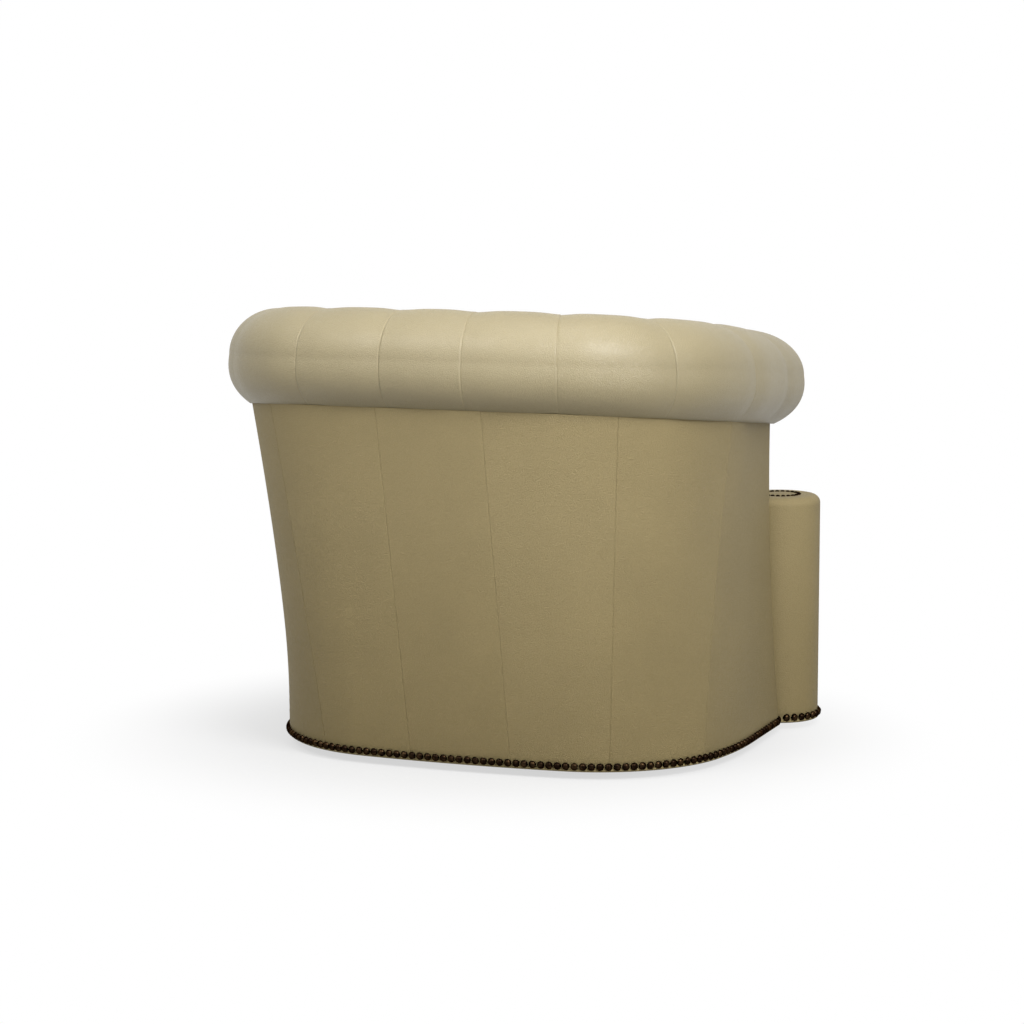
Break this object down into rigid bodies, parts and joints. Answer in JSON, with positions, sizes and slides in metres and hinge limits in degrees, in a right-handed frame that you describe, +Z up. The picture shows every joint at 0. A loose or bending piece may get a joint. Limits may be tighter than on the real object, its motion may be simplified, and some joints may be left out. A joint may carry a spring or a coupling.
{
  "type": "swivel chair",
  "caption": "Swivel tub chair in olive leather: pleated roll over back and arms, sewn panels, round nailed posts, loose cushion, hidden turning plinth.",
  "frame": {"origin": "the swivel axis where it meets the floor", "axes": "+Z up along the swivel axis, front towards -Y, the sitter's left towards +X"},
  "size_m": [0.877, 0.82, 0.7464],
  "materials": {
    "olive_leather": "semi-matt olive-khaki leather with a fine pebbled grain",
    "bronzed_brass": "dark antique bronze patina with rubbed high spots",
    "hardwood": "sawn, unfinished",
    "plywood": "birch plywood, unfinished",
    "zinc_steel": "bright zinc plated",
    "cage_plastic": "matt nylon",
    "black_rubber": "matt",
    "black_cloth": "thin cambric",
    "jute_webbing": "woven jute",
    "deck_cloth": "plain weave"
  },
  "bodies": {
    "base": {"floor_ring": "black_rubber", "plinth_rim": "plywood", "plinth_disc": "plywood", "lower_bearing_plate": "zinc_steel", "lower_plate_screws": "zinc_steel", "pivot_tube": "zinc_steel"},
    "cage": {"ball_cage": "cage_plastic", "bearing_balls": "zinc_steel"},
    "chair": {"upper_bearing_plate": "zinc_steel", "upper_plate_screws": "zinc_steel", "swivel_board": "plywood", "left_bearer": "hardwood", "right_bearer": "hardwood", "bottom_hoop": "plywood", "top_hoop": "plywood", "wall_uprights": "hardwood", "left_front_stile": "hardwood", "right_front_stile": "hardwood", "seat_hoop": "plywood", "left_seat_rail": "hardwood", "right_seat_rail": "hardwood", "seat_front_rail": "hardwood", "lower_front_rail": "hardwood", "left_post_core": "hardwood", "right_post_core": "hardwood", "dust_cover": "black_cloth", "long_webbing": "jute_webbing", "cross_webbing": "jute_webbing", "seat_deck": "deck_cloth", "seat_cushion": "olive_leather", "front_apron": "olive_leather", "back_centre_cover": "olive_leather", "left_back_cover": "olive_leather", "right_back_cover": "olive_leather", "left_corner_cover": "olive_leather", "right_corner_cover": "olive_leather", "left_side_cover": "olive_leather", "right_side_cover": "olive_leather", "left_arm_facing": "olive_leather", "right_arm_facing": "olive_leather", "left_post_cover": "olive_leather", "right_post_cover": "olive_leather", "inside_back": "olive_leather", "left_inside_arm": "olive_leather", "right_inside_arm": "olive_leather", "back_roll": "olive_leather", "left_arm_roll": "olive_leather", "right_arm_roll": "olive_leather", "tufting_buttons": "olive_leather", "hem_nails": "bronzed_brass", "left_post_nails": "bronzed_brass", "right_post_nails": "bronzed_brass"}
  },
  "joints": [
    {"name": "chair_swivel", "type": "hinge", "parent": "base", "child": "chair", "pos_m": [0, 0, 0], "axis": [0, 0, 1], "continuous": true},
    {"name": "cage_turn", "type": "hinge", "parent": "base", "child": "cage", "pos_m": [0, 0, 0], "axis": [0, 0, 1], "continuous": true}
  ],
  "couplings": [
    {"joint": "cage_turn", "follows": "chair_swivel", "ratio": 0.5}
  ]
}
